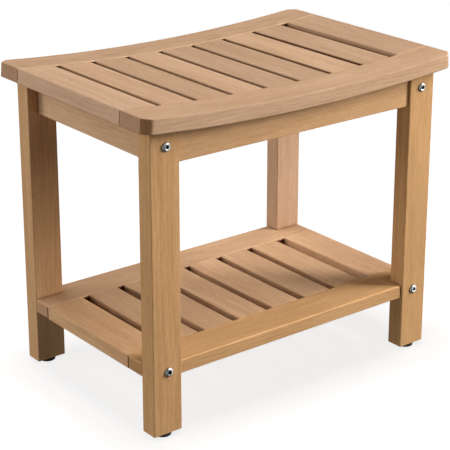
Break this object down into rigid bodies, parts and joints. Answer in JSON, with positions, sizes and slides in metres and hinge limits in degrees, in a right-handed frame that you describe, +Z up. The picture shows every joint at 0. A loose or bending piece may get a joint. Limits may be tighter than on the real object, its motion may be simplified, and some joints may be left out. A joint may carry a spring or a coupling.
{
  "type": "shower stool",
  "caption": "Hardwood shower stool with a dished slatted seat, aprons, bolted legs, a slatted lower shelf and screw-in levelling feet.",
  "frame": {"origin": "on the floor under the middle of the seat", "axes": "+X along the length to the stool's right end, +Y from front to back, +Z up"},
  "size_m": [0.5438, 0.36, 0.46],
  "materials": {
    "seat_wood": "smooth satin-sanded hardwood with fine straight grain",
    "frame_wood": "smooth satin-sanded hardwood, upright or lengthwise grain",
    "shelf_wood": "smooth satin-sanded hardwood with fine straight grain",
    "dowel_wood": "raw beech",
    "zinc_steel": "bright zinc plate",
    "stem_steel": "bright zinc plate",
    "insert_brass": "plain machined brass",
    "pad_rubber": "matt black rubber"
  },
  "bodies": {
    "stool": {"seat_front_rail": "seat_wood", "seat_back_rail": "seat_wood", "seat_left_end_board": "seat_wood", "seat_right_end_board": "seat_wood", "seat_slat_1": "seat_wood", "seat_slat_2": "seat_wood", "seat_slat_3": "seat_wood", "seat_slat_4": "seat_wood", "seat_slat_5": "seat_wood", "seat_slat_6": "seat_wood", "seat_slat_7": "seat_wood", "front_apron": "frame_wood", "back_apron": "frame_wood", "left_end_apron": "frame_wood", "right_end_apron": "frame_wood", "leg_front_left": "frame_wood", "leg_front_right": "frame_wood", "leg_back_left": "frame_wood", "leg_back_right": "frame_wood", "shelf_front_rail": "shelf_wood", "shelf_back_rail": "shelf_wood", "shelf_left_end_board": "shelf_wood", "shelf_right_end_board": "shelf_wood", "shelf_slat_1": "shelf_wood", "shelf_slat_2": "shelf_wood", "shelf_slat_3": "shelf_wood", "shelf_slat_4": "shelf_wood", "shelf_slat_5": "shelf_wood", "shelf_slat_6": "shelf_wood", "upper_leg_bolts": "zinc_steel", "lower_leg_bolts": "zinc_steel", "upper_barrel_nuts": "zinc_steel", "lower_barrel_nuts": "zinc_steel", "apron_dowels": "dowel_wood", "end_apron_dowels": "dowel_wood", "seat_screws": "zinc_steel", "foot_inserts": "insert_brass"},
    "foot_pad_front_left": {"foot_pad_front_left": "pad_rubber"},
    "foot_pad_front_right": {"foot_pad_front_right": "pad_rubber"},
    "foot_pad_back_left": {"foot_pad_back_left": "pad_rubber"},
    "foot_pad_back_right": {"foot_pad_back_right": "pad_rubber"},
    "foot_stem_front_left": {"foot_stem_front_left": "stem_steel"},
    "foot_stem_front_right": {"foot_stem_front_right": "stem_steel"},
    "foot_stem_back_left": {"foot_stem_back_left": "stem_steel"},
    "foot_stem_back_right": {"foot_stem_back_right": "stem_steel"}
  },
  "joints": [
    {"name": "foot_slide_front_left", "type": "slide", "parent": "stool", "child": "foot_pad_front_left", "axis": [0, 0, -1], "range_m": [0, 0.01]},
    {"name": "foot_screw_front_left", "type": "hinge", "parent": "foot_pad_front_left", "child": "foot_stem_front_left", "pos_m": [-0.228, -0.1475, 0], "axis": [0, 0, -1], "range_deg": [0, 2880]},
    {"name": "foot_slide_front_right", "type": "slide", "parent": "stool", "child": "foot_pad_front_right", "axis": [0, 0, -1], "range_m": [0, 0.01]},
    {"name": "foot_screw_front_right", "type": "hinge", "parent": "foot_pad_front_right", "child": "foot_stem_front_right", "pos_m": [0.228, -0.1475, 0], "axis": [0, 0, -1], "range_deg": [0, 2880]},
    {"name": "foot_slide_back_left", "type": "slide", "parent": "stool", "child": "foot_pad_back_left", "axis": [0, 0, -1], "range_m": [0, 0.01]},
    {"name": "foot_screw_back_left", "type": "hinge", "parent": "foot_pad_back_left", "child": "foot_stem_back_left", "pos_m": [-0.228, 0.1475, 0], "axis": [0, 0, -1], "range_deg": [0, 2880]},
    {"name": "foot_slide_back_right", "type": "slide", "parent": "stool", "child": "foot_pad_back_right", "axis": [0, 0, -1], "range_m": [0, 0.01]},
    {"name": "foot_screw_back_right", "type": "hinge", "parent": "foot_pad_back_right", "child": "foot_stem_back_right", "pos_m": [0.228, 0.1475, 0], "axis": [0, 0, -1], "range_deg": [0, 2880]}
  ],
  "couplings": [
    {"joint": "foot_screw_front_left", "follows": "foot_slide_front_left", "rad_per_m": 5026.5},
    {"joint": "foot_screw_front_right", "follows": "foot_slide_front_right", "rad_per_m": 5026.5},
    {"joint": "foot_screw_back_left", "follows": "foot_slide_back_left", "rad_per_m": 5026.5},
    {"joint": "foot_screw_back_right", "follows": "foot_slide_back_right", "rad_per_m": 5026.5}
  ]
}
